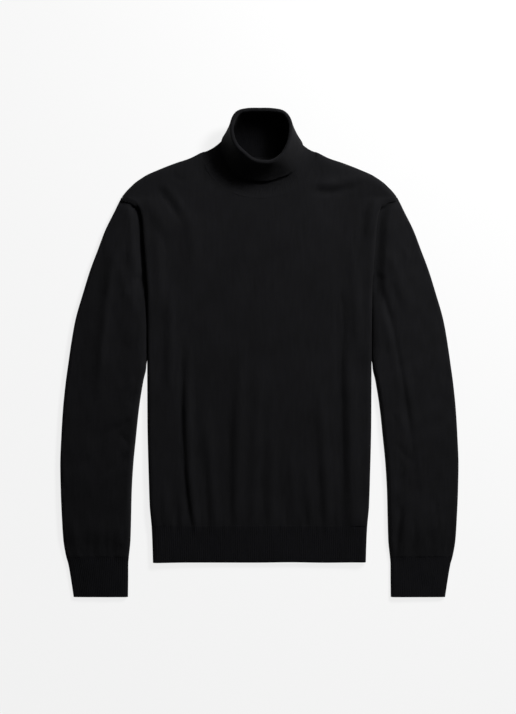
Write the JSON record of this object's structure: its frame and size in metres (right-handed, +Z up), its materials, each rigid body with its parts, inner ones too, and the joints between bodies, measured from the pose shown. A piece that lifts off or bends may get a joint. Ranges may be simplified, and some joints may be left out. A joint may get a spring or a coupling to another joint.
{
  "type": "turtleneck sweater",
  "caption": "A black fine-knit wool turtleneck sweater laid out flat with its front up, with long sleeves, ribbed hem and cuffs and a folded-over collar.",
  "frame": {"origin": "middle of the laid-out garment's outline, on the surface that it lies on", "axes": "+X to the wearer's left, +Y from the hem to the collar, +Z up out of the garment's front"},
  "size_m": [0.6704, 0.8187, 0.0498],
  "materials": {
    "plain_knit": "matt fine-gauge plain knit in black wool",
    "rib_knit": "matt fine rib knit in black wool"
  },
  "bodies": {
    "root": {"front_panel": "plain_knit", "back_panel": "plain_knit", "front_hem_rib": "rib_knit", "back_hem_rib": "rib_knit", "left_sleeve": "plain_knit", "right_sleeve": "plain_knit", "left_cuff_rib": "rib_knit", "right_cuff_rib": "rib_knit", "collar": "rib_knit"}
  },
  "joints": []
}
